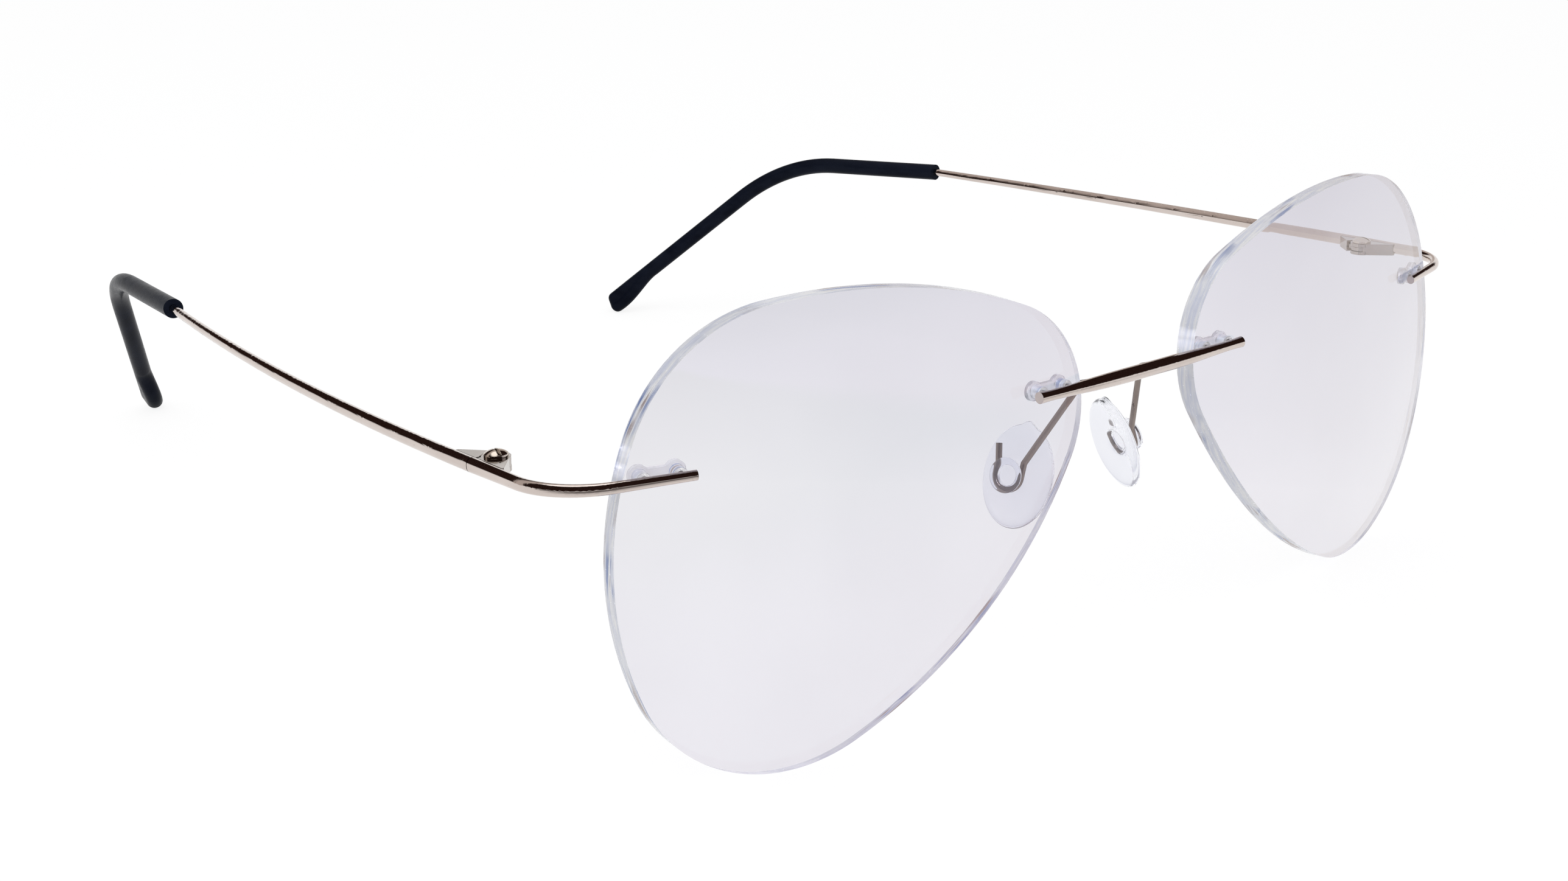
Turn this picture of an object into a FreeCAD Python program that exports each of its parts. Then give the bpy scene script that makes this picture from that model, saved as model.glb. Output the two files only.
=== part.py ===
"""Rimless eyeglasses, modelled in millimetres as a parametric document.

Every piece is first drawn in the front frame: X runs to the wearer's left, Y runs back along the
temples, Z is up, and the origin is midway between the lenses at the height of the lens axes.
STAND then sets the finished piece down as the glasses stand, on the lens bottoms and temple tips.
Left-hand pieces are drawn. Right-hand pieces are their mirror images.
"""
import FreeCAD, Part
import Sketcher
import math
import os

SIZES = [
    ("lens_offset", 37.0, "lens axis to the middle plane"),
    ("lens_wrap", 9.0, "turn of each lens round the face, degrees"),
    ("lens_curve", 140.0, "radius of the front surface"),
    ("lens_thick", 2.0, "lens thickness"),
    ("lens_rise", 21.3, "lens axis to the top edge"),
    ("lens_drop", 24.6, "lens axis to the bottom edge"),
    ("lens_nasal", 28.4, "lens axis to the nasal edge"),
    ("lens_temple", 23.9, "lens axis to the temple-side edge"),
    ("top_round", 60.2, "radius of the top edge"),
    ("top_apex", 1.8, "highest point, towards the temple"),
    ("side_round", 32.4, "radius of the temple-side edge"),
    ("outer_corner", 17.1, "radius of the upper outer corner"),
    ("nose_corner", 11.5, "radius of the upper nasal corner"),
    ("nose_side", 57.6, "radius of the lower nasal edge"),
    ("low_corner", 16.5, "radius of the bottom"),
    ("low_apex", 6.1, "lowest point, towards the temple"),
    ("bar_height", 7.15, "endpiece bars above the lens axis"),
    ("bridge_height", 7.55, "bridge bar above the lens axis"),
    ("pin_spacing", 3.4, "between the two pins of a mount"),
    ("pin_inset_temple", 3.2, "outer pin to the temple-side reach of the lens"),
    ("pin_inset_nasal", 2.0, "inner pin to the nasal reach of the lens"),
    ("bar_overhang", 1.3, "bar past its last pin"),
    ("bar_gap", 0.12, "bar to lens face"),
    ("pin_radius", 0.32, "core of a mount pin"),
    ("barb_radius", 0.4, "barb of a mount pin"),
    ("barb_land", 0.05, "widest part of a barb along the pin"),
    ("pin_seat", 0.45, "depth of a pin's seat in its bar"),
    ("fit", 0.02, "clearance of parts that fit into each other"),
    ("plug_radius", 0.7, "plug of the lens sleeve"),
    ("flange_radius", 1.0, "flange of the lens sleeve"),
    ("flange_thick", 0.5, "thickness of the flange"),
    ("sleeve_waist", 1.1, "width between the two flanges"),
    ("seat_gap", 0.1, "flange to the curved back of the lens"),
    ("bridge_end", 0.6, "radius of the bridge bar at its ends"),
    ("bridge_mid", 0.76, "radius of the bridge bar in the middle"),
    ("bridge_bow", 0.4, "forward bow of the bridge bar"),
    ("end_width", 0.92, "width of the endpiece bar over the lens"),
    ("end_height", 0.97, "height of the endpiece bar over the lens"),
    ("bar_width", 1.2, "width of the bars at the hinge"),
    ("bar_tall", 1.45, "height of the bars at the hinge"),
    ("end_bend", 7.5, "bend of the endpiece round the lens"),
    ("end_side", 9.9, "mount to the straight run of the endpiece, sideways"),
    ("end_back", 15.2, "mount to the split line, backwards"),
    ("split_gap", 0.1, "gap of the butt joint at the split line"),
    ("eye_room", 0.2, "hinge eye to the inside of the bars"),
    ("hinge_ahead", 0.75, "hinge axis ahead of the split line"),
    ("leaf_radius", 1.35, "rounded plates of the front leaf"),
    ("leaf_top", 0.57, "top of the front leaf above the bar's middle line"),
    ("plate_thick", 0.4, "each plate of the front leaf"),
    ("eye_thick", 0.5, "eye of the temple leaf"),
    ("eye_radius", 1.25, "outside of the eye"),
    ("eye_play", 0.04, "running clearance of the eye"),
    ("leaf_foot", 3.6, "front leaf's web along the bar"),
    ("leaf_lap", 0.3, "leaf's brazed edge short of the bar's middle line"),
    ("wedge_length", 3.45, "temple leaf's wedge along the temple"),
    ("wedge_set", 0.65, "inner end of the wedge behind the front leaf's plates"),
    ("neck_reach", 0.9, "neck of the eye into the wedge, from the split line's side"),
    ("neck_inner", 0.4, "neck of the eye into the wedge, on its inner side"),
    ("screw_radius", 0.5, "hinge screw shank"),
    ("head_radius", 1.12, "hinge screw head"),
    ("head_rim", 0.25, "straight rim of the head"),
    ("head_dome", 0.42, "dome of the head"),
    ("slot_width", 0.3, "screwdriver slot"),
    ("slot_depth", 0.36, "screwdriver slot below the top of the dome"),
    ("temple_length", 73.8, "split line to the mouth of the tip"),
    ("temple_inward", 5.95, "inward lean of the temple at the tip's mouth"),
    ("temple_rise", 0.6, "tip's mouth above the bars"),
    ("wire_shoulder", 0.03, "end of the bar over the wire's radius"),
    ("mouth_gap", 0.1, "end of the bar to the mouth of the tip"),
    ("wire_radius", 0.46, "temple wire where it enters the tip"),
    ("tip_yaw", 8.8, "inward direction of the tip, degrees"),
    ("tip_tilt", 23.0, "inward tilt of the plane of the ear bend, degrees"),
    ("tip_fall", 3.2, "fall of the tip before the bend, degrees"),
    ("tip_straight", 19.8, "tip before the bend"),
    ("tip_bend", 28.0, "radius of the ear bend"),
    ("tip_turn", 38.5, "turn of the ear bend, degrees"),
    ("tip_drop", 30.5, "tip after the bend"),
    ("tip_radius", 1.12, "half width of the tip tube"),
    ("tip_height", 2.28, "height of the tip tube"),
    ("paddle_length", 10.0, "widening at the end of the tip"),
    ("paddle_width", 3.6, "widest part of the paddle"),
    ("paddle_thick", 2.2, "thickness of the paddle"),
    ("tip_round", 0.9, "rounded end of the paddle"),
    ("core_reach", 8.0, "wire core past the ear bend"),
    ("pad_offset", 9.45, "pad hub to the middle plane"),
    ("pad_setback", 8.75, "pad hub behind the lens axes"),
    ("pad_fall", 4.05, "pad hub below the lens axes"),
    ("pad_splay", 12.0, "turn of the pad towards the front, degrees"),
    ("pad_lean", 18.0, "lean of the pad's top towards the nose, degrees"),
    ("pad_length", 11.0, "nose pad length"),
    ("pad_width", 8.2, "nose pad width"),
    ("pad_thick", 1.6, "nose pad thickness"),
    ("pad_round", 0.6, "rounded edge of the nose pad"),
    ("pad_shift", 0.1, "pad plate ahead of its hub"),
    ("tab_width", 1.4, "moulding tab on the pad's top edge"),
    ("tab_out", 0.55, "tab past the pad's edge"),
    ("tab_in", 0.5, "tab inside the pad's edge"),
    ("hub_radius", 1.05, "neck of the pad's hub"),
    ("hub_gap", 0.8, "groove of the hub that takes the wire"),
    ("hub_flange", 1.88, "radius of the hub's flange"),
    ("hub_stand", 0.5, "pad plate to the hub's groove"),
    ("stand_radius", 1.45, "radius of the hub's foot on the plate"),
    ("hub_cap", 0.6, "thickness of the hub's flange"),
    ("arm_radius", 0.34, "pad arm wire"),
    ("arm_root", 4.15, "pad arm's root to the middle plane"),
    ("arm_knee_x", 5.2, "pad arm's knee to the middle plane"),
    ("arm_knee_y", 3.1, "pad arm's knee behind the lens axes"),
    ("arm_knee_z", 5.8, "pad arm's knee above the lens axes"),
    ("arm_bend", 1.3, "bend radius of the pad arm"),
    ("hook_up", 1.6, "start of the hook above the hub's middle"),
    ("hook_play", 0.05, "running clearance of the hook on the neck"),
    ("tail_rise", 3.0, "end of the hook's tail above the hub's middle"),
    ("tail_out", 1.95, "end of the hook's tail behind the hub's middle"),
    ("tip_foot", 1.35, "lowest spot of the tip below the end of its middle line"),
    ("stand_back", 73.69, "shift that centres the glasses front to back"),
]

doc = FreeCAD.newDocument("rimless_eyeglasses")
sheet = doc.addObject("Spreadsheet::Sheet", "Sizes")
for row, (alias, number, note) in enumerate(SIZES, start=1):
    sheet.set("A%d" % row, str(number))
    sheet.setAlias("A%d" % row, alias)
    sheet.set("B%d" % row, note)
doc.recompute()


def tied(text):
    """Turn <name> into a reference to the sheet's cell of that name."""
    return text.replace("<", "Sizes.").replace(">", "")


def size(alias):
    """Read one number from the sheet."""
    return float(sheet.get(alias))


# Turns of a sketch plane within a place: upright facing front, upright facing sideways.
FRONT = "rotation(vector(1; 0; 0); 90)"
SIDE = "rotation(vector(1; 1; 1); 120)"
ABOUT_Z = "rotation(vector(0; 0; 1); %s)"


def frame(name, x, y, z, turn):
    """A named place that pieces share, tied to the sheet."""
    item = doc.addObject("App::Placement", name)
    item.setExpression("Placement", tied("placement(vector(%s; %s; %s); %s)" % (x, y, z, turn)))
    return name + ".Placement"


def mount(across, height):
    """Middle of a two-pin mount on the lens face: its X, its Y and the turn of the lens there."""
    back = "(<lens_curve> - sqrt(<lens_curve> ^ 2 - %s ^ 2 - %s ^ 2))" % (across, height)
    along = "(<lens_offset> + %s * cos(<lens_wrap>) - %s * sin(<lens_wrap>))" % (across, back)
    depth = "(%s * sin(<lens_wrap>) + %s * cos(<lens_wrap>))" % (across, back)
    turn = "(<lens_wrap> + asin(%s / <lens_curve>) / 1 deg)" % across
    return tied(along), tied(depth), tied(turn)


def low_edge_depth():
    """How far behind the front frame the lens rests on the table."""
    sag = "(<lens_curve> - sqrt(<lens_curve> ^ 2 - <low_apex> ^ 2 - <lens_drop> ^ 2))"
    return tied("(<low_apex> * sin(<lens_wrap>) + (%s + <lens_thick>) * cos(<lens_wrap>))" % sag)


END_X, END_Y, END_TURN = mount(
    "(<lens_temple> - <pin_inset_temple> - <pin_spacing> / 2)", "<bar_height>")
NOSE_X, NOSE_Y, NOSE_TURN = mount(
    "(<pin_inset_nasal> + <pin_spacing> / 2 - <lens_nasal>)", "<bridge_height>")
BAR_X = tied("(%s + <end_side>)") % END_X
SPLIT_Y = tied("(%s + <end_back>)") % END_Y
BRIDGE_Y = tied("(%s - (<bar_gap> + <bridge_end>) * cos(%s))") % (NOSE_Y, NOSE_TURN)
STEEP = tied("(<tip_fall> + <tip_turn>)")
TIP_ALONG = tied("(<tip_straight> * cos(<tip_fall>) + <tip_bend> * (sin(%s) - sin(<tip_fall>))"
                 " + <tip_drop> * cos(%s))") % (STEEP, STEEP)
TIP_DOWN = tied("(<tip_straight> * sin(<tip_fall>) + <tip_bend> * (cos(<tip_fall>) - cos(%s))"
                " + <tip_drop> * sin(%s))") % (STEEP, STEEP)
TIP_LOW = tied("(<tip_foot> + %s * cos(<tip_tilt>) - <bar_height> - <temple_rise>)") % TIP_DOWN
TIP_BACK = tied("(%s + <temple_length> + %s * cos(<tip_yaw>) - %s * sin(<tip_tilt>)"
                " * sin(<tip_yaw>))") % (SPLIT_Y, TIP_ALONG, TIP_DOWN)
RAKE = tied("(atan((<lens_drop> - %s) / (%s - %s)) / 1 deg)") % (TIP_LOW, TIP_BACK, low_edge_depth())
STAND_UP = tied("(<lens_drop> * cos(%s) + %s * sin(%s))") % (RAKE, low_edge_depth(), RAKE)

LENS = frame("LensFrame", "<lens_offset>", "0", "0", ABOUT_Z % "<lens_wrap>")
END_MOUNT = frame("EndMountFrame", END_X, END_Y, "<bar_height>", ABOUT_Z % END_TURN)
NOSE_MOUNT = frame("NoseMountFrame", NOSE_X, NOSE_Y, "<bridge_height>", ABOUT_Z % NOSE_TURN)
FAR_MOUNT = frame("FarMountFrame", "-" + NOSE_X, NOSE_Y, "<bridge_height>",
                  ABOUT_Z % ("-" + NOSE_TURN))
HINGE_INSET = "(<bar_width> / 2 + <eye_radius> + <eye_room>)"
HINGE = frame("HingeFrame", BAR_X + " - " + HINGE_INSET, SPLIT_Y + " - <hinge_ahead>", "<bar_height>",
              ABOUT_Z % "0")
TIP = frame("TipFrame", BAR_X + " - <temple_inward>", SPLIT_Y + " + <temple_length>",
            "<bar_height> + <temple_rise>",
            ABOUT_Z % "<tip_yaw>" + " * rotation(vector(0; 1; 0); <tip_tilt>)")
PAD = frame("PadFrame", "<pad_offset>", "<pad_setback>", "-<pad_fall>",
            "rotation(vector(0; 1; 0); -<pad_lean>) * " + ABOUT_Z % "-<pad_splay>" + " * " + SIDE)
STAND = frame("StandFrame", "0", "-<stand_back>", STAND_UP,
              "rotation(vector(1; 0; 0); -%s)" % RAKE)
doc.recompute()


def shifted(place, x, y, z, turn=ABOUT_Z % "0"):
    """A place moved and turned within itself."""
    return "%s * placement(vector(%s; %s; %s); %s)" % (place, tied(x), tied(y), tied(z), turn)


def new_body(label):
    """An empty body, set down as the glasses stand."""
    body = doc.addObject("PartDesign::Body", label)
    body.Label = label
    body.setExpression("Placement", STAND)
    return body


def new_sketch(body, name, place):
    """A sketch of the body whose plane lies at a place given by expressions."""
    sketch = body.newObject("Sketcher::SketchObject", body.Name + "_" + name)
    planes = [item for item in body.Origin.OriginFeatures if item.Role == "XY_Plane"]
    sketch.AttachmentSupport = [(planes[0], "")]
    sketch.MapMode = "FlatFace"
    sketch.setExpression("AttachmentOffset", tied(place))
    return sketch


def rule(sketch, expression, kind, *where):
    """Add one dimension and tie it to the sheet. The start value only picks the side."""
    sketch.addConstraint(Sketcher.Constraint(kind, *where))
    sketch.setExpression("Constraints[%d]" % (sketch.ConstraintCount - 1), tied(expression))


def near(expression):
    """The present value of an expression, used as a start value for the sketch solver."""
    value = sheet.evalExpression(tied(expression))
    return float(getattr(value, "Value", value))


def put_point(sketch, geometry, end, x, y):
    """Fix one point of a sketch at X and Y."""
    rule(sketch, x, "DistanceX", -1, 1, geometry, end, near(x))
    rule(sketch, y, "DistanceY", -1, 1, geometry, end, near(y))


def add_circle(sketch, x, y, radius):
    """A circle with its centre and radius tied to the sheet."""
    centre = FreeCAD.Vector(near(x), near(y), 0)
    index = sketch.addGeometry(Part.Circle(centre, FreeCAD.Vector(0, 0, 1), near(radius)))
    put_point(sketch, index, 3, x, y)
    rule(sketch, radius, "Radius", index, near(radius))
    return index


def add_polygon(sketch, corners):
    """A closed outline of straight lines, each corner tied to the sheet."""
    points = [FreeCAD.Vector(near(x), near(y), 0) for x, y in corners]
    count = len(points)
    for index in range(count):
        sketch.addGeometry(Part.LineSegment(points[index], points[(index + 1) % count]))
    for index in range(count):
        sketch.addConstraint(Sketcher.Constraint("Coincident", index, 2, (index + 1) % count, 1))
    for index, (x, y) in enumerate(corners):
        put_point(sketch, index, 1, x, y)


def add_oval(sketch, x, y, width, height):
    """An upright oval: two half rounds of the width, joined by straight sides."""
    reach = "(%s - %s) / 2" % (height, width)
    high = "%s + %s" % (y, reach)
    low = "%s - %s" % (y, reach)
    radius = near(width) / 2
    axis = FreeCAD.Vector(0, 0, 1)
    top = Part.Circle(FreeCAD.Vector(near(x), near(high), 0), axis, radius)
    bottom = Part.Circle(FreeCAD.Vector(near(x), near(low), 0), axis, radius)
    sketch.addGeometry(Part.ArcOfCircle(top, 0, math.pi))
    sketch.addGeometry(Part.LineSegment(
        FreeCAD.Vector(near(x) - radius, near(high), 0), FreeCAD.Vector(near(x) - radius, near(low), 0)))
    sketch.addGeometry(Part.ArcOfCircle(bottom, math.pi, 2 * math.pi))
    sketch.addGeometry(Part.LineSegment(
        FreeCAD.Vector(near(x) + radius, near(low), 0), FreeCAD.Vector(near(x) + radius, near(high), 0)))
    sketch.addConstraint(Sketcher.Constraint("Tangent", 0, 2, 1, 1))
    sketch.addConstraint(Sketcher.Constraint("Tangent", 1, 2, 2, 1))
    sketch.addConstraint(Sketcher.Constraint("Tangent", 2, 2, 3, 1))
    sketch.addConstraint(Sketcher.Constraint("Tangent", 3, 2, 0, 1))
    sketch.addConstraint(Sketcher.Constraint("Equal", 0, 2))
    put_point(sketch, 0, 3, x, high)
    put_point(sketch, 2, 3, x, low)
    rule(sketch, "%s / 2" % width, "Radius", 0, radius)


def add_pad(body, name, sketch, length, midplane=False):
    """Raise a sketch into a solid along its normal."""
    pad = body.newObject("PartDesign::Pad", body.Name + "_" + name)
    pad.Profile = sketch
    pad.Midplane = midplane
    pad.setExpression("Length", tied(length))
    return pad


def add_pocket(body, name, sketch, length, midplane=False):
    """Cut a sketch into the solid, against its normal."""
    pocket = body.newObject("PartDesign::Pocket", body.Name + "_" + name)
    pocket.Profile = sketch
    pocket.Midplane = midplane
    pocket.setExpression("Length", tied(length))
    return pocket


def add_loft(body, name, sections):
    """A smooth solid through a row of sections."""
    loft = body.newObject("PartDesign::AdditiveLoft", body.Name + "_" + name)
    loft.Profile = sections[0]
    loft.Sections = sections[1:]
    return loft


def finish(piece, label):
    """Name a finished left-hand or middle piece."""
    piece.Label = label
    finished.append(piece)


def mirror(piece, label):
    """The right-hand piece: the left-hand one mirrored about the middle plane."""
    copy = doc.addObject("Part::Mirroring", label)
    copy.Source = piece
    copy.Normal = (1, 0, 0)
    copy.Base = (0, 0, 0)
    copy.Label = label
    finished.append(copy)


def pair(piece, name):
    """Name the left-hand piece and add the right-hand one."""
    finish(piece, name + "_left")
    mirror(piece, name + "_right")


def boolean(kind, name, base, tool):
    """A Part boolean of two objects."""
    result = doc.addObject("Part::" + kind, name)
    result.Base = base
    result.Tool = tool
    return result


def lens_outline(sketch):
    """The aviator outline: three long arcs joined by three round corners, all tangent."""
    def arc(x, y, radius, start, end):
        circle = Part.Circle(FreeCAD.Vector(x, y, 0), FreeCAD.Vector(0, 0, 1), radius)
        first = math.radians(start)
        last = math.radians(end)
        return sketch.addGeometry(Part.ArcOfCircle(circle, first, last))

    top_y = near("<lens_rise> - <top_round>")
    nose_x = near("<nose_corner> - <lens_nasal>")
    nose_y = top_y + math.sqrt(
        near("<top_round> - <nose_corner>") ** 2 - (nose_x - near("<top_apex>")) ** 2)
    low_x = near("<low_apex>")
    low_y = near("<low_corner> - <lens_drop>")
    arc(near("<top_apex>"), top_y, near("<top_round>"), 84, 112)
    arc(nose_x, nose_y, near("<nose_corner>"), 112, 211)
    arc(22.8, 29.5, near("<nose_side>"), 211, 246)
    arc(low_x, low_y, near("<low_corner>"), 246, 336)
    arc(near("<lens_temple> - <side_round>"), -1.6, near("<side_round>"), 336, 382)
    arc(5.7, 4.0, near("<outer_corner>"), 22, 84)
    for index in range(6):
        sketch.addConstraint(Sketcher.Constraint("Tangent", index, 2, (index + 1) % 6, 1))
    for index, name in enumerate(
            ("top_round", "nose_corner", "nose_side", "low_corner", "side_round", "outer_corner")):
        rule(sketch, "<%s>" % name, "Radius", index, near("<%s>" % name))
    put_point(sketch, 0, 3, "<top_apex>", "<lens_rise> - <top_round>")
    put_point(sketch, 3, 3, "<low_apex>", "<low_corner> - <lens_drop>")
    rule(sketch, "<nose_corner> - <lens_nasal>", "DistanceX", -1, 1, 1, 3, nose_x)
    rule(sketch, "<lens_temple> - <side_round>", "DistanceX", -1, 1, 4, 3,
         near("<lens_temple> - <side_round>"))


def mount_holes(body, name, place):
    """Two plug holes of one mount, square to the lens face there."""
    sketch = new_sketch(body, name, shifted(place, "0", "0", "0", FRONT))
    for side in ("-", ""):
        add_circle(sketch, side + "<pin_spacing> / 2", "0", "<plug_radius> + <fit>")
    doc.recompute()
    add_pocket(body, name + "_cut", sketch, "4 * <lens_thick>", midplane=True)


def build_lens():
    """A plano lens: the outline cut from a shell between two spheres, drilled for the mounts."""
    blank = new_body("lens_blank")
    outline = new_sketch(blank, "outline", shifted(LENS, "0", "0", "0", FRONT))
    lens_outline(outline)
    doc.recompute()
    add_pad(blank, "edge", outline, "8 * <lens_thick>", midplane=True)
    doc.recompute()
    mount_holes(blank, "end_holes", END_MOUNT)
    mount_holes(blank, "nose_holes", NOSE_MOUNT)
    spheres = []
    for name, radius in (("front", "<lens_curve>"), ("back", "<lens_curve> - <lens_thick>")):
        sphere = doc.addObject("Part::Sphere", "lens_%s_surface" % name)
        sphere.setExpression("Radius", tied(radius))
        sphere.setExpression("Placement", STAND + " * " + shifted(LENS, "0", "<lens_curve>", "0"))
        spheres.append(sphere)
    shell = boolean("Cut", "lens_shell", spheres[0], spheres[1])
    pair(boolean("Common", "lens", blank, shell), "lens")


def build_bridge():
    """The round bridge bar, a little thicker and bowed forward between the lenses."""
    body = new_body("bridge")
    half = "(%s + (<pin_spacing> / 2 + <bar_overhang>) * cos(%s))" % (NOSE_X, NOSE_TURN)
    sections = []
    stations = ((-1, 0), (-0.66, 0.08), (-0.38, 0.85), (0, 1), (0.38, 0.85), (0.66, 0.08), (1, 0))
    for index, (share, swell) in enumerate(stations):
        place = "placement(vector(%s * (%s); %s - (1 - (%s) ^ 2) * Sizes.bridge_bow; " % (
            half, share, BRIDGE_Y, share)
        sketch = new_sketch(body, "section%d" % index, place + "Sizes.bridge_height); %s)" % SIDE)
        add_circle(sketch, "0", "0", "<bridge_end> + (<bridge_mid> - <bridge_end>) * %s" % swell)
        sections.append(sketch)
    doc.recompute()
    add_loft(body, "round", sections)
    doc.recompute()
    for name, place in (("left", NOSE_MOUNT), ("right", FAR_MOUNT)):
        reach = "-(<bar_gap> + <pin_seat> / 2)"
        sketch = new_sketch(body, "seats_" + name, shifted(place, "0", reach, "0", FRONT))
        for side in ("-", ""):
            add_circle(sketch, side + "<pin_spacing> / 2", "0", "<pin_radius>")
        doc.recompute()
        add_pocket(body, "seats_cut_" + name, sketch, "<pin_seat>", midplane=True)
    finish(body, "bridge_bar")


def pin_profile(sketch):
    """Half section of a barbed pin, standing on the sketch's Y axis."""
    root = "-(<bar_gap> + <pin_seat>)"
    end = "<lens_thick> + <seat_gap> + <flange_thick> * 0.6"
    corners = [("0", root), ("<pin_radius>", root)]
    for step in (0.15, 0.4, 0.65):
        start = "<lens_thick> * %s" % step
        corners.append(("<pin_radius>", start))
        corners.append(("<barb_radius>", start + " + <barb_land>"))
        corners.append(("<pin_radius>", start + " + <lens_thick> * 0.2"))
    corners.append(("<pin_radius>", end))
    corners.append(("0", end))
    add_polygon(sketch, corners)


def build_pins(name, place):
    """The two barbed pins of a mount, seated in their bar and pushed into the sleeve."""
    solids = []
    for side, sign in (("a", "-"), ("b", "")):
        body = new_body("%s_%s" % (name, side))
        spot = shifted(place, sign + "<pin_spacing> / 2", "0", "0")
        sketch = new_sketch(body, "profile", spot)
        pin_profile(sketch)
        doc.recompute()
        pin = body.newObject("PartDesign::Revolution", body.Name + "_turned")
        pin.Profile = sketch
        pin.ReferenceAxis = (sketch, ["V_Axis"])
        pin.Angle = 360
        solids.append(body)
    both = doc.addObject("Part::Compound", name)
    both.Links = solids
    pair(both, name)


def build_sleeve(name, place):
    """The clear double plug: two plugs through the lens and a waisted flange behind it."""
    body = new_body(name)
    seat = shifted(place, "0", "<lens_thick> + <seat_gap> + <flange_thick>", "0", FRONT)
    sketch = new_sketch(body, "flanges", seat)
    for side in ("-", ""):
        add_circle(sketch, side + "<pin_spacing> / 2", "0", "<flange_radius>")
    waist = new_sketch(body, "waist", seat)
    add_polygon(waist, (("-<pin_spacing> / 2", "-<sleeve_waist> / 2"),
                        ("<pin_spacing> / 2", "-<sleeve_waist> / 2"),
                        ("<pin_spacing> / 2", "<sleeve_waist> / 2"),
                        ("-<pin_spacing> / 2", "<sleeve_waist> / 2")))
    plugs = new_sketch(body, "plugs", seat)
    bores = new_sketch(body, "bores", seat)
    for side in ("-", ""):
        add_circle(plugs, side + "<pin_spacing> / 2", "0", "<plug_radius>")
        add_circle(bores, side + "<pin_spacing> / 2", "0", "<barb_radius> + <fit>")
    doc.recompute()
    add_pad(body, "web", waist, "<flange_thick>")
    doc.recompute()
    add_pad(body, "discs", sketch, "<flange_thick>")
    doc.recompute()
    add_pad(body, "plug_pair", plugs, "<flange_thick> + <seat_gap> + <lens_thick>")
    doc.recompute()
    bore = add_pocket(body, "bore_pair", bores, "<flange_thick> + <seat_gap> + <lens_thick> + 1")
    bore.Reversed = True
    pair(body, name)


def build_endpiece():
    """The endpiece: over the lens face, round its edge and back to the split line."""
    body = new_body("endpiece")
    path = new_sketch(body, "path", tied("placement(vector(0; 0; <bar_height>); %s)") % (ABOUT_Z % "0"))
    reach = "(<pin_spacing> / 2 + <bar_overhang>)"
    ahead = "(<bar_gap> + <end_width> / 2)"
    start_x = "%s - %s * cos(%s) + %s * sin(%s)" % (END_X, reach, END_TURN, ahead, END_TURN)
    start_y = "%s - %s * sin(%s) - %s * cos(%s)" % (END_Y, reach, END_TURN, ahead, END_TURN)
    turn = math.radians(near(END_TURN))
    bend = near("<end_bend>")
    begin = FreeCAD.Vector(near(start_x), near(start_y), 0)
    line_end_x = near(BAR_X) - bend * (1 - math.sin(turn))
    rise = (line_end_x - begin.x) * math.tan(turn)
    bend_start = FreeCAD.Vector(line_end_x, begin.y + rise, 0)
    centre = FreeCAD.Vector(near(BAR_X) - bend, bend_start.y + bend * math.cos(turn), 0)
    bend_end = FreeCAD.Vector(near(BAR_X), centre.y, 0)
    end_y = "%s - Sizes.split_gap / 2" % SPLIT_Y
    circle = Part.Circle(centre, FreeCAD.Vector(0, 0, 1), bend)
    path.addGeometry(Part.LineSegment(begin, bend_start))
    path.addGeometry(Part.ArcOfCircle(circle, turn - math.pi / 2, 0))
    path.addGeometry(Part.LineSegment(bend_end, FreeCAD.Vector(near(BAR_X), near(end_y), 0)))
    path.addConstraint(Sketcher.Constraint("Tangent", 0, 2, 1, 1))
    path.addConstraint(Sketcher.Constraint("Tangent", 1, 2, 2, 1))
    path.addConstraint(Sketcher.Constraint("Vertical", 2))
    put_point(path, 0, 1, start_x, start_y)
    put_point(path, 2, 2, BAR_X, end_y)
    rule(path, END_TURN, "Angle", 0, turn)
    rule(path, "<end_bend>", "Radius", 1, bend)
    first = new_sketch(body, "first", "placement(vector(%s; %s; Sizes.bar_height); %s * %s)" % (
        start_x, start_y, ABOUT_Z % END_TURN, SIDE))
    add_oval(first, "0", "0", "<end_width>", "<end_height>")
    last = new_sketch(body, "last", "placement(vector(%s; %s; Sizes.bar_height); %s * %s)" % (
        BAR_X, end_y, ABOUT_Z % "90", SIDE))
    add_oval(last, "0", "0", "<bar_width>", "<bar_tall>")
    doc.recompute()
    pipe = body.newObject("PartDesign::AdditivePipe", "endpiece_bar")
    pipe.Profile = first
    pipe.Spine = path
    pipe.Sections = [last]
    pipe.Transformation = "Multisection"
    doc.recompute()
    seat = "-(<bar_gap> + <pin_seat> / 2)"
    sketch = new_sketch(body, "seats", shifted(END_MOUNT, "0", seat, "0", FRONT))
    for side in ("-", ""):
        add_circle(sketch, side + "<pin_spacing> / 2", "0", "<pin_radius>")
    doc.recompute()
    add_pocket(body, "seats_cut", sketch, "<pin_seat>", midplane=True)
    doc.recompute()
    pair(body, "endpiece")
    return body


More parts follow.
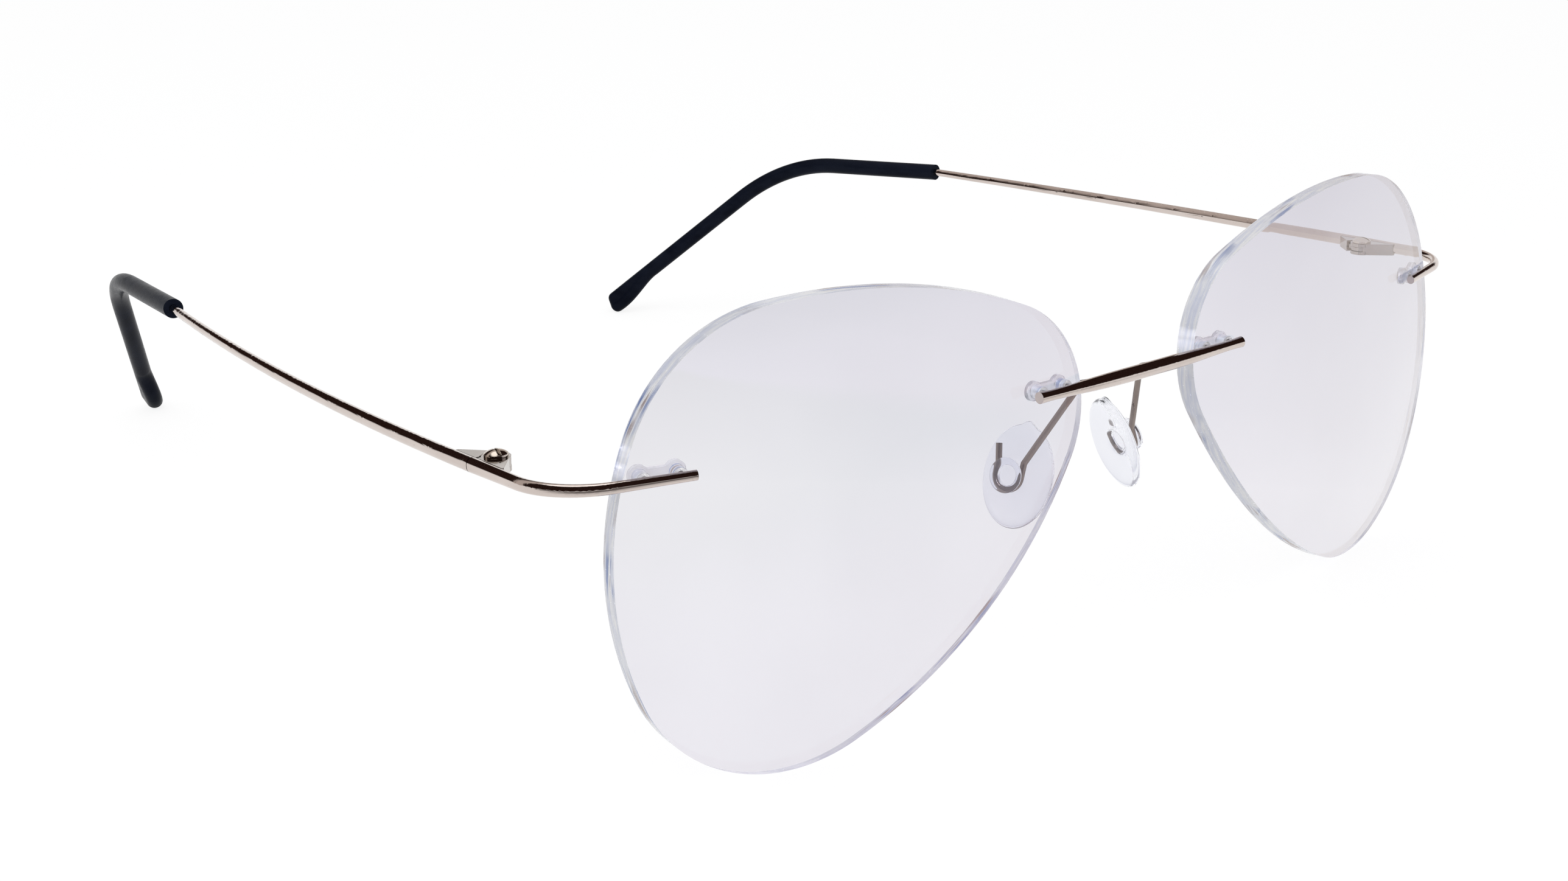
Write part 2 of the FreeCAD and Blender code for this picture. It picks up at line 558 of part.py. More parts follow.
def build_front_leaf(bar):
    """Two rounded plates on a web, brazed to the inside of the endpiece, slotted for the eye."""
    body = new_body("front_leaf")
    low = "<leaf_top> - 2 * <plate_thick> - <eye_thick> - 2 * <eye_play>"
    floor = shifted(HINGE, "0", "0", low)
    tall = "2 * <plate_thick> + <eye_thick> + 2 * <eye_play>"
    disc = new_sketch(body, "disc", floor)
    add_circle(disc, "0", "0", "<leaf_radius>")
    web = new_sketch(body, "web", floor)
    add_polygon(web, ((HINGE_INSET + " - <leaf_lap>", "-<leaf_foot>"),
                      (HINGE_INSET + " - <leaf_lap>", "<hinge_ahead> - <split_gap> * 1.5"),
                      ("0", "<hinge_ahead> - <split_gap> * 1.5"),
                      ("-<leaf_radius> * 0.55", "-<leaf_radius> * 0.8"),
                      (HINGE_INSET + " - <bar_width> / 2", "-<leaf_foot>")))
    slot = new_sketch(body, "slot", shifted(HINGE, "0", "0", low + " + <plate_thick>"))
    add_circle(slot, "0", "0", "<eye_radius> + 2 * <eye_play>")
    gap = new_sketch(body, "gap", shifted(HINGE, "0", "0", low + " + <plate_thick>"))
    add_polygon(gap, (("-2 * <leaf_radius>", "-<leaf_radius> * 0.2"),
                      ("0", "-<eye_radius> - <eye_play>"),
                      ("<eye_radius>", "0"),
                      ("<eye_radius>", "2 * <leaf_radius>"),
                      ("-2 * <leaf_radius>", "2 * <leaf_radius>")))
    bore = new_sketch(body, "bore", floor)
    add_circle(bore, "0", "0", "<screw_radius> + <fit>")
    doc.recompute()
    add_pad(body, "disc_pad", disc, tall)
    doc.recompute()
    add_pad(body, "web_pad", web, tall)
    doc.recompute()
    for name, sketch, depth in (("slot_cut", slot, "<eye_thick> + 2 * <eye_play>"),
                                ("gap_cut", gap, "<eye_thick> + 2 * <eye_play>"),
                                ("bore_cut", bore, tall)):
        cut = add_pocket(body, name, sketch, depth)
        cut.Reversed = True
        doc.recompute()
    pair(boolean("Cut", "front_leaf_fitted", body, bar), "front_hinge_leaf")


def build_temple():
    """The temple: an oval bar at the hinge that thins to a wire, which runs on inside the tip."""
    body = new_body("temple")
    sections = []
    for index, share in enumerate((0, 0.25, 0.5, 0.75, 1)):
        drift = "Sizes.temple_inward * %s ^ 2" % share
        place = "placement(vector(%s - %s; %s + Sizes.split_gap / 2 + (Sizes.temple_length - " % (
            BAR_X, drift, SPLIT_Y)
        place += "Sizes.split_gap / 2 - Sizes.mouth_gap) * %s; Sizes.bar_height + Sizes.temple_rise * %s ^ 2); %s)" % (
            share, share, FRONT)
        sketch = new_sketch(body, "section%d" % index, place)
        thin = share ** 1.5
        end = "2 * (<wire_radius> + <wire_shoulder>)"
        width = "(<bar_width> + (%s - <bar_width>) * %s)" % (end, thin)
        height = "(<bar_tall> + (%s + 0.02 - <bar_tall>) * %s)" % (end, thin)
        add_oval(sketch, "0", "0", width, height)
        sections.append(sketch)
    doc.recompute()
    add_loft(body, "bar", sections)
    doc.recompute()
    core = tip_path(body, "core_path", "<core_reach>", "-0.4")
    ring = tip_section(body, "core_ring", "-0.4")
    add_circle(ring, "0", "0", "<wire_radius>")
    doc.recompute()
    pipe = body.newObject("PartDesign::AdditivePipe", "temple_core")
    pipe.Profile = ring
    pipe.Spine = core
    pair(body, "temple")
    return body


def tip_path(body, name, drop, begin="0"):
    """The middle line of the tip in its own plane: straight, ear bend, drop."""
    sketch = new_sketch(body, name, shifted(TIP, "0", "0", "0", SIDE))
    fall = math.radians(size("tip_fall"))
    turn = math.radians(size("tip_turn"))
    bend = size("tip_bend")
    along = FreeCAD.Vector(math.cos(fall), -math.sin(fall), 0)
    down = FreeCAD.Vector(-math.sin(fall), -math.cos(fall), 0)
    after = FreeCAD.Vector(math.cos(fall + turn), -math.sin(fall + turn), 0)
    start = along * near(begin)
    first = along * size("tip_straight")
    centre = first + down * bend
    second = centre + FreeCAD.Vector(math.sin(fall + turn), math.cos(fall + turn), 0) * bend
    circle = Part.Circle(centre, FreeCAD.Vector(0, 0, 1), bend)
    sketch.addGeometry(Part.LineSegment(start, first))
    sketch.addGeometry(Part.ArcOfCircle(circle, math.pi / 2 - fall - turn, math.pi / 2 - fall))
    sketch.addGeometry(Part.LineSegment(second, second + after * near(drop)))
    sketch.addConstraint(Sketcher.Constraint("Tangent", 0, 2, 1, 2))
    sketch.addConstraint(Sketcher.Constraint("Tangent", 1, 1, 2, 1))
    put_point(sketch, 0, 1, "%s * cos(<tip_fall>)" % begin, "-(%s) * sin(<tip_fall>)" % begin)
    put_point(sketch, 0, 2, "<tip_straight> * cos(<tip_fall>)", "-<tip_straight> * sin(<tip_fall>)")
    rule(sketch, "<tip_bend>", "Radius", 1, bend)
    rule(sketch, "-" + STEEP, "Angle", 2, -(fall + turn))
    rule(sketch, drop, "Distance", 2, near(drop))
    return sketch


def tip_section(body, name, begin):
    """An empty section square to the tip's straight part."""
    along = "%s * cos(<tip_fall>)" % begin
    down = "-(%s) * sin(<tip_fall>)" % begin
    turn = tied("rotation(vector(1; 0; 0); 90 - <tip_fall>)")
    return new_sketch(body, name, shifted(TIP, "0", along, down, turn))


def drop_point(back):
    """A place on the tip's drop, square to it, a given distance before its end."""
    along = "%s - (%s) * cos(%s)" % (TIP_ALONG, back, STEEP)
    down = "(%s) * sin(%s) - %s" % (back, STEEP, TIP_DOWN)
    return shifted(TIP, "0", along, down, "rotation(vector(1; 0; 0); 90 - %s)" % STEEP)


def build_tip():
    """The plastic tip: a tube along the ear bend that ends in a rounded paddle, bored for the core."""
    body = new_body("tip")
    path = tip_path(body, "path", "<tip_drop> - <paddle_length>")
    ring = tip_section(body, "ring", "0")
    add_oval(ring, "0", "0", "2 * <tip_radius>", "<tip_height>")
    doc.recompute()
    tube = body.newObject("PartDesign::AdditivePipe", "tip_tube")
    tube.Profile = ring
    tube.Spine = path
    doc.recompute()
    sections = []
    stations = ((1, 0, 0), (0.72, 0.25, 0.2), (0.4, 0.85, 0.8), (0.18, 1, 1), (0, 0.85, 1))
    for index, (back, wide, thin) in enumerate(stations):
        sketch = new_sketch(body, "paddle%d" % index, drop_point("<paddle_length> * %s" % back))
        width = "(2 * <tip_radius> + (<paddle_thick> - 2 * <tip_radius>) * %s)" % thin
        height = "(<tip_height> + (<paddle_width> - <tip_height>) * %s)" % wide
        add_oval(sketch, "0", "-(%s - <tip_height>) / 2" % height, width, height)
        sections.append(sketch)
    doc.recompute()
    paddle = add_loft(body, "paddle", sections)
    doc.recompute()
    end = sheet.evalExpression(drop_point("0")).inverse()
    edges = [index for index, edge in enumerate(paddle.Shape.Edges, start=1)
             if all(abs(end.multVec(vertex.Point).z) < 0.001 for vertex in edge.Vertexes)]
    rounding = body.newObject("PartDesign::Fillet", "tip_rounding")
    rounding.Base = (paddle, ["Edge%d" % index for index in edges])
    rounding.setExpression("Radius", tied("<tip_round>"))
    doc.recompute()
    bore_path = tip_path(body, "bore_path", "<core_reach> + 0.3")
    bore_ring = tip_section(body, "bore_ring", "0")
    add_circle(bore_ring, "0", "0", "<wire_radius> + <fit>")
    doc.recompute()
    bore = body.newObject("PartDesign::SubtractivePipe", "tip_bore")
    bore.Profile = bore_ring
    bore.Spine = bore_path
    doc.recompute()
    pair(body, "temple_tip")


def build_temple_leaf(bar):
    """The eye on its neck and the wedge that is brazed to the inside of the temple."""
    body = new_body("temple_leaf")
    low = "<leaf_top> - <plate_thick> - <eye_thick> - <eye_play>"
    eye = new_sketch(body, "eye", shifted(HINGE, "0", "0", low))
    add_circle(eye, "0", "0", "<eye_radius>")
    neck = new_sketch(body, "neck", shifted(HINGE, "0", "0", low))
    add_polygon(neck, (("-<eye_radius> * 0.6", "0"), ("<eye_radius> * 0.8", "0"),
                       ("<eye_radius> * 0.8", "<hinge_ahead> + <neck_reach>"),
                       ("-<eye_radius> * 0.15", "<leaf_radius> + <neck_inner>")))
    base = "<leaf_top> - 2 * <plate_thick> - <eye_thick> - 2 * <eye_play>"
    wedge = new_sketch(body, "wedge", shifted(HINGE, "0", "0", base))
    front = "<hinge_ahead> + <split_gap>"
    add_polygon(wedge, ((HINGE_INSET + " - <leaf_lap>", front), ("<eye_radius>", front),
                        ("<eye_radius> * 0.2", "<leaf_radius> + 2 * <split_gap>"),
                        ("-<eye_radius> * 0.25", "<leaf_radius> + <wedge_set>"),
                        (HINGE_INSET + " - <bar_width> / 2 - 0.1", "<hinge_ahead> + <wedge_length>"),
                        (HINGE_INSET + " - <leaf_lap>", "<hinge_ahead> + <wedge_length>")))
    bore = new_sketch(body, "bore", shifted(HINGE, "0", "0", low))
    add_circle(bore, "0", "0", "<screw_radius> + <eye_play>")
    doc.recompute()
    add_pad(body, "eye_pad", eye, "<eye_thick>")
    doc.recompute()
    add_pad(body, "neck_pad", neck, "<eye_thick>")
    doc.recompute()
    add_pad(body, "wedge_pad", wedge, "2 * <plate_thick> + <eye_thick> + 2 * <eye_play>")
    doc.recompute()
    cut = add_pocket(body, "bore_cut", bore, "<eye_thick>")
    cut.Reversed = True
    doc.recompute()
    pair(boolean("Cut", "temple_leaf_fitted", body, bar), "temple_hinge_leaf")


def build_screw():
    """The slotted, domed hinge screw."""
    body = new_body("screw")
    profile = new_sketch(body, "profile", shifted(HINGE, "0", "0", "0", FRONT))
    under = "<leaf_top>"
    low = "<leaf_top> - 2 * <plate_thick> - <eye_thick> - 2 * <eye_play>"
    rim = "<leaf_top> + <head_rim>"
    top = "<leaf_top> + <head_rim> + <head_dome>"
    bow = (near("<head_radius>") ** 2 + near("<head_dome>") ** 2) / (2 * near("<head_dome>"))
    centre_y = near(top) - bow
    spots = [("0", top), ("0", low), ("<screw_radius>", low), ("<screw_radius>", under),
             ("<head_radius>", under), ("<head_radius>", rim)]
    points = [FreeCAD.Vector(near(x), near(y), 0) for x, y in spots]
    for index in range(5):
        profile.addGeometry(Part.LineSegment(points[index], points[index + 1]))
    circle = Part.Circle(FreeCAD.Vector(0, centre_y, 0), FreeCAD.Vector(0, 0, 1), bow)
    start = math.atan2(near(rim) - centre_y, near("<head_radius>"))
    profile.addGeometry(Part.ArcOfCircle(circle, start, math.pi / 2))
    for index in range(5):
        profile.addConstraint(Sketcher.Constraint("Coincident", index, 2, index + 1, 1))
    profile.addConstraint(Sketcher.Constraint("Coincident", 5, 2, 0, 1))
    for index in range(5):
        put_point(profile, index, 1, *spots[index])
    put_point(profile, 4, 2, *spots[5])
    profile.addConstraint(Sketcher.Constraint("PointOnObject", 5, 3, -2))
    doc.recompute()
    turned = body.newObject("PartDesign::Revolution", "screw_turned")
    turned.Profile = profile
    turned.ReferenceAxis = (profile, ["V_Axis"])
    turned.Angle = 360
    doc.recompute()
    place = shifted(HINGE, "0", "0", top, "rotation(vector(0; 0; 1); 12)")
    slot = new_sketch(body, "slot", place)
    add_polygon(slot, (("-<slot_width> / 2", "-2 * <head_radius>"),
                       ("<slot_width> / 2", "-2 * <head_radius>"),
                       ("<slot_width> / 2", "2 * <head_radius>"),
                       ("-<slot_width> / 2", "2 * <head_radius>")))
    doc.recompute()
    add_pocket(body, "slot_cut", slot, "<slot_depth>")
    doc.recompute()
    pair(body, "hinge_screw")


def build_nose_pad():
    """The soft clear pad: an oval plate on a spool whose groove is held by the wire hook."""
    body = new_body("pad")
    face = shifted(PAD, "0", "0", "-<hub_gap> / 2 - <hub_stand>")
    plate = new_sketch(body, "plate", face)
    long = near("<pad_length>") / 2
    wide = near("<pad_width>") / 2
    middle = FreeCAD.Vector(-near("<pad_shift>"), 0, 0)
    up = FreeCAD.Vector(0, long, 0)
    across = FreeCAD.Vector(-wide, 0, 0)
    plate.addGeometry(Part.Ellipse(middle + up, middle + across, middle))
    plate.exposeInternalGeometry(0)
    put_point(plate, 0, 3, "-<pad_shift>", "0")
    plate.addConstraint(Sketcher.Constraint("Vertical", 1))
    rule(plate, "<pad_length>", "Distance", 1, 2 * long)
    rule(plate, "<pad_width>", "Distance", 2, 2 * wide)
    doc.recompute()
    slab = add_pad(body, "slab", plate, "<pad_thick>")
    slab.Reversed = True
    doc.recompute()
    edges = [index for index, edge in enumerate(slab.Shape.Edges, start=1)
             if edge.Length > 2 * long]
    rounding = body.newObject("PartDesign::Fillet", "pad_rounding")
    rounding.Base = (slab, ["Edge%d" % index for index in edges])
    rounding.setExpression("Radius", tied("<pad_round>"))
    doc.recompute()
    foot = new_sketch(body, "foot", face)
    add_circle(foot, "0", "0", "<stand_radius>")
    neck = new_sketch(body, "neck", face)
    add_circle(neck, "0", "0", "<hub_radius>")
    cap = new_sketch(body, "cap", shifted(PAD, "0", "0", "<hub_gap> / 2"))
    add_circle(cap, "0", "0", "<hub_flange>")
    gate = new_sketch(body, "gate", shifted(PAD, "0", "0", "-<hub_gap> / 2 - <hub_stand> - <pad_thick> * 0.7"))
    gate_low = "<pad_length> / 2 - <tab_in>"
    gate_high = "<pad_length> / 2 + <tab_out>"
    gate_left = "-<pad_shift> - <tab_width> / 2"
    gate_right = "-<pad_shift> + <tab_width> / 2"
    add_polygon(gate, ((gate_left, gate_low), (gate_right, gate_low),
                       (gate_right, gate_high), (gate_left, gate_high)))
    doc.recompute()
    add_pad(body, "foot_pad", foot, "<hub_stand>")
    doc.recompute()
    add_pad(body, "neck_pad", neck, "<hub_gap> + <hub_stand>")
    doc.recompute()
    add_pad(body, "cap_pad", cap, "<hub_cap>")
    doc.recompute()
    add_pad(body, "gate_pad", gate, "<pad_thick> * 0.45")
    doc.recompute()
    pair(body, "nose_pad")


def rounded_path(points, radius):
    """Straight runs joined by tangent arcs of one radius."""
    edges = []
    start = points[0]
    for index in range(1, len(points) - 1):
        corner = points[index]
        back = (points[index - 1] - corner).normalize()
        ahead = (points[index + 1] - corner).normalize()
        half = back.getAngle(ahead) / 2
        run = radius / math.tan(half)
        middle = (back + ahead).normalize()
        first = corner + back * run
        last = corner + ahead * run
        mid = corner + middle * (radius / math.sin(half) - radius)
        edges.append(Part.LineSegment(start, first).toShape())
        edges.append(Part.Arc(first, mid, last).toShape())
        start = last
    edges.append(Part.LineSegment(start, points[-1]).toShape())
    return edges


def build_pad_arm(bar):
    """One bent wire: from the back of the bridge, down to the pad and hooked round its hub."""
    placed = FreeCAD.Placement(sheet.evalExpression(PAD))
    round_hub = size("hub_radius") + size("arm_radius") + size("hook_play")
    bridge_y = near(BRIDGE_Y) - size("bridge_bow") * (1 - (size("arm_root") / near(NOSE_X)) ** 2)
    root = FreeCAD.Vector(size("arm_root"), bridge_y, size("bridge_height") + 0.1)
    knee = FreeCAD.Vector(size("arm_knee_x"), size("arm_knee_y"), size("arm_knee_z"))
    kink = placed.multVec(FreeCAD.Vector(-round_hub, size("hook_up"), 0))
    upper = rounded_path([root, knee, kink], size("arm_bend"))
    front = placed.multVec(FreeCAD.Vector(-round_hub, 0, 0))
    bottom = placed.multVec(FreeCAD.Vector(0, -round_hub, 0))
    rear = placed.multVec(FreeCAD.Vector(round_hub, 0, 0))
    turn = placed.multVec(FreeCAD.Vector(round_hub, round_hub * 0.55, 0))
    tail = placed.multVec(FreeCAD.Vector(size("tail_out"), size("tail_rise"), 0))
    hook = [Part.LineSegment(kink, front).toShape(), Part.Arc(front, bottom, rear).toShape(),
            Part.LineSegment(rear, turn).toShape(), Part.LineSegment(turn, tail).toShape()]
    joint = Part.makeSphere(size("arm_radius"), kink)
    knuckle = Part.makeSphere(size("arm_radius"), turn)
    pieces = [swept_wire(upper), swept_wire(hook[:3]), swept_wire(hook[3:]), joint, knuckle]
    solid = pieces[0].fuse(pieces[1:]).removeSplitter()
    feature = doc.addObject("Part::Feature", "pad_arm_wire")
    feature.Shape = solid.cut(bar.Shape.transformed(bar.Placement.inverse().toMatrix()))
    feature.setExpression("Placement", STAND)
    pair(feature, "pad_arm")


def swept_wire(edges):
    """A round wire along connected edges."""
    path = Part.Wire(Part.__sortEdges__(edges))
    start = edges[0].valueAt(edges[0].FirstParameter)
    direction = edges[0].tangentAt(edges[0].FirstParameter)
    ring = Part.Wire(Part.Circle(start, direction, size("arm_radius")).toShape())
    return path.makePipeShell([ring], True, True)


def check_and_export():
    """Stop on any failed object or bad shape, then write one STEP file for each piece."""
    doc.recompute()
    for item in doc.Objects:
        if "Invalid" in item.State or "Error" in item.State:
            raise RuntimeError("failed object: %s %s" % (item.Label, item.State))
    for piece in finished:
        shape = piece.Shape
        if shape.isNull() or not shape.isValid() or not shape.Solids:
            raise RuntimeError("bad shape: " + piece.Label)
    os.makedirs("parts", exist_ok=True)
    for piece in finished:
        piece.Shape.exportStep("parts/%s.step" % piece.Label)
        print("%-24s solids %d volume %.3f" % (piece.Label, len(piece.Shape.Solids), piece.Shape.Volume))


finished = []
build_lens()
build_bridge()
doc.recompute()
bridge = finished[-1]
build_pins("bridge_pins", NOSE_MOUNT)
build_sleeve("bridge_sleeve", NOSE_MOUNT)
build_nose_pad()
build_pad_arm(bridge)
endpiece = build_endpiece()
build_front_leaf(endpiece)
build_pins("endpiece_pins", END_MOUNT)
build_sleeve("endpiece_sleeve", END_MOUNT)
temple = build_temple()
build_temple_leaf(temple)
build_tip()
build_screw()
doc.recompute()
check_and_export()
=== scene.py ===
"""Looks for the rimless eyeglasses: polished wire metal, clear lenses, soft pads and black tips.

Lengths are in metres, except for the nose pads, which are drawn in millimetres like the part itself.
"""

import math

import bmesh
import bpy
from mathutils import Matrix, Vector


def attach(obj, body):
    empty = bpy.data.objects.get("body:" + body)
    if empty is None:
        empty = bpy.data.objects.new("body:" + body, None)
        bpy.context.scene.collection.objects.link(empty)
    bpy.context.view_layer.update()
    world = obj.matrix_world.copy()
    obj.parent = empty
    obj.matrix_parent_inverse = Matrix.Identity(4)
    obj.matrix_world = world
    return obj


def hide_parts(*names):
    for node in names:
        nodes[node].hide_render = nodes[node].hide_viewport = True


MM = 0.001
SIDES = {"left": 1, "right": -1}

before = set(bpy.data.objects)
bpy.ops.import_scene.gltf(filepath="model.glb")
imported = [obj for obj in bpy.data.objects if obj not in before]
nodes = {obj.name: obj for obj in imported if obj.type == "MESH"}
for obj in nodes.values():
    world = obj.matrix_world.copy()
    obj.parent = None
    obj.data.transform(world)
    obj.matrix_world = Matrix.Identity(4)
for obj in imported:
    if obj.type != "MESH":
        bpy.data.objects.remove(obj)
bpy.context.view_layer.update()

# Camera: the position and the three axes that give the object its usual three-quarter view.
CAMERA_PLACE = Vector((-0.16507, -0.22161, 0.09834))
CAMERA_RIGHT = Vector((0.731205, -0.682051, 0.012096))
CAMERA_UP = Vector((0.187481, 0.217978, 0.957777))
CAMERA_BACK = Vector((-0.655889, -0.698063, 0.287258))
CAMERA_LENS = 51.63
CAMERA_SENSOR = 36.0
CAMERA_SHIFT = (-0.1025, -0.0484)
CAMERA_NEAR = 0.005
CAMERA_FAR = 20.0

# Level directions towards the dark side of the room and the front of the table, then plain axes.
ROOM_SIDE = (-0.684, -0.729, 0.0)
TABLE_FRONT = (-0.30, -0.954, 0.0)
LEFTWARD = (1, 0, 0)
BACKWARD = (0, 1, 0)
UPWARD = (0, 0, 1)

# The dark room begins above a skyline. It drops from the first height to the second as a ray's reach
# along ROOM_SIDE grows from the first value to the second. Its tones fade in over a small height.
SKYLINE_REACH = (-0.95, -0.40)
SKYLINE_HEIGHT = (0.30, -0.02)
ROOM_FADE = 0.11
CEILING_FADE = 0.07

# What polished metal sees besides the room: a soft overhead lamp, and a pale arch of light as far
# towards the back as ARCH_REACH. Each fades out over its rim.
LAMP_SPOT = (0.10, 0.30, 0.95)
LAMP_RIM = (0.93, 0.97)
LAMP_TONE = (1.7, 1.7, 1.7)
ARCH_REACH = 0.647
ARCH_RIM = (0.06, 0.14)
ARCH_TONE = (0.60, 0.54, 0.51)

# Tones of the surroundings: in reflections, through clear pieces, and as plain light on the object.
WHITE = (1.0, 1.0, 1.0)
DARK_ROOM = (0.022, 0.010, 0.008)
DARK_TABLE = (0.03, 0.016, 0.012)
DEEP_TABLE = (0.70, 0.70, 0.765)
CEILING_THROUGH = (0.50, 0.49, 0.53)
ROOM_INSIDE_GLASS = (0.92, 0.92, 0.95)
ROOM_LIGHT = (0.80, 0.80, 0.81)

# The floor lies a hair below the lowest point of the object and glows where it is seen. Reflections
# show a dark front end, on the right side only, and clear pieces show a tone that deepens backwards.
FLOOR_RADIUS = 3.0
FLOOR_DROP = 0.00001
FLOOR_GLOW = 0.85
FRONT_END = (0.08, 0.19)
RIGHT_SIDE = (0.06, 0.12)
DEEPENING = (-0.40, 0.0)
DEEPENING_CURVE = 0.6

# Nose pad frame on the wearer's left: where the hub meets the wire hook, and its axes.
PAD_PLACE = Vector((9.45, -65.07885, 20.42172))
PAD_ACROSS = Vector((0.19774, 0.97974, 0.03184))
PAD_LONG = Vector((-0.30902, 0.03148, 0.95054))
PAD_OUT = Vector((0.93027, -0.19779, 0.30898))
PAD_HALF_WIDTH = 4.1
PAD_HALF_LENGTH = 5.5
PAD_SHIFT = 0.1
PAD_STEPS = 96
TAB_HALF_WIDTH = 0.9
TAB_REACH = 0.4
TAB_DEPTHS = (-2.1, -1.2)

# Rings of the pad's skin as (share of the oval, depth), then of its hub as (radius, depth).
PLATE_RINGS = (
    (0.12, -2.50), (0.35, -2.49), (0.60, -2.44), (0.80, -2.34), (0.91, -2.21),
    (0.97, -2.04), (1.0, -1.80), (1.0, -1.60), (0.975, -1.38), (0.92, -1.21),
    (0.82, -1.09), (0.66, -1.00), (0.50, -0.95),
)
HUB_RINGS = (
    (1.62, -0.90), (1.48, -0.78), (1.44, -0.60), (1.38, -0.46), (1.15, -0.41),
    (1.07, -0.34), (1.05, -0.15), (1.05, 0.15), (1.07, 0.34), (1.15, 0.40),
    (1.60, 0.43), (1.82, 0.50), (1.88, 0.66), (1.83, 0.84), (1.66, 0.95),
    (1.20, 0.99), (0.6, 1.0), (0.2, 1.0),
)

# Metal: softened corners of hinge plates and screws, the depth of rubbed lines, and the pits' tone.
METAL_CORNER = 0.00009
HAIRLINE_DEPTH = 0.00001
PIT_TONE = (0.30, 0.24, 0.20)

# Lenses: the left one faces along LENS_AXIS, turned LENS_TURN about the upright. The coating is
# LENS_FILM nanometres thick. The ground edge, where the surface turns away from that axis, has
# streaks that are partly its own frosted tone and partly painted reflection bands, painted
# reflections in cool and warm lines, and a painted highlight along its chamfer.
LENS_INDEX = 1.52
LENS_TURN = math.radians(9.0)
LENS_AXIS = Vector((0.15643, -0.98715, 0.0))
LENS_FILM = 310.0
LENS_FILM_INDEX = 1.38
LENS_CHAMFER = 0.00016
# Range of agreement between the rounded and the true surface direction over which the chamfer's painted
# highlight fades out.
CHAMFER_HIGHLIGHT_FLATNESS = (0.80, 0.985)
EDGE_FACING = (0.55, 0.75)
FACE_DEEP = (0.795, 0.785, 0.83)
FACE_PALE = (0.83, 0.82, 0.865)
# The edge's streaks run from EDGE_DEEP to EDGE_PALE: partly the ground glass's own frosted tone, partly
# painted reflection bands.
EDGE_DEEP = (0.74, 0.77, 0.90)
EDGE_PALE = (0.98, 0.98, 0.99)
# Painted reflections: cool blue and warm brown lines on the ground edge.
EDGE_COOL_REFLECTION = (0.17, 0.25, 0.52)
EDGE_WARM_REFLECTION = (0.27, 0.16, 0.12)
# Painted highlight: the pale tone of the chamfer lines along the edge.
CHAMFER_HIGHLIGHT_TONE = (0.97, 0.97, 0.99)
LENS_SHADOW = (0.90, 0.90, 0.93)

# Moulded plastic: how deep its skin's grain is, its shadow's tint, and the two blacks of the tips.
SKIN_DEPTH = 0.00002
PLASTIC_SHADOW = (0.88, 0.89, 0.92)
TIP_DEEP = (0.003, 0.004, 0.008)
TIP_RUBBED = (0.007, 0.009, 0.016)


# ---------------------------------------------------------------- shader helpers

